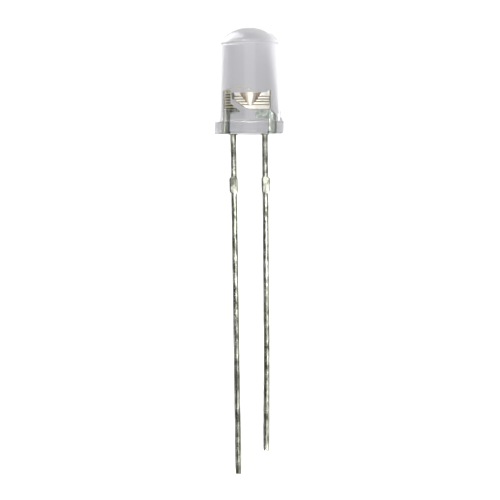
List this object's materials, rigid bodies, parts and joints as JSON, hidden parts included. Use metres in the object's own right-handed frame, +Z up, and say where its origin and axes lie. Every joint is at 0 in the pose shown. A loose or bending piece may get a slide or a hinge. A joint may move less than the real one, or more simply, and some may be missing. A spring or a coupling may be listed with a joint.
{
  "type": "through hole led",
  "caption": "Clear round LED lamp: domed epoxy lens with a flanged base and a cathode flat, a chip in a reflector cup, and straight square leads for a printed circuit board.",
  "frame": {"origin": "on the surface the lamp lies on, under the middle of the whole lamp", "axes": "+Y runs from the lead tips to the dome, +X to the cathode's side, +Z up; the lamp lies as it comes to rest, on its flange's edge and both lead tips, so its own axis rises a few degrees towards the dome"},
  "size_m": [0.0054, 0.036, 0.0058],
  "materials": {
    "epoxy": "clear gloss",
    "lead_frame": "tinned, worn satin",
    "chip": "sawn semiconductor with a gold pad",
    "adhesive": "silver-filled",
    "gold": "bright"
  },
  "bodies": {
    "root": {"epoxy_lens": "epoxy", "anode_lead": "lead_frame", "cathode_lead": "lead_frame", "led_die": "chip", "die_attach": "adhesive", "bond_wire": "gold"}
  },
  "joints": []
}
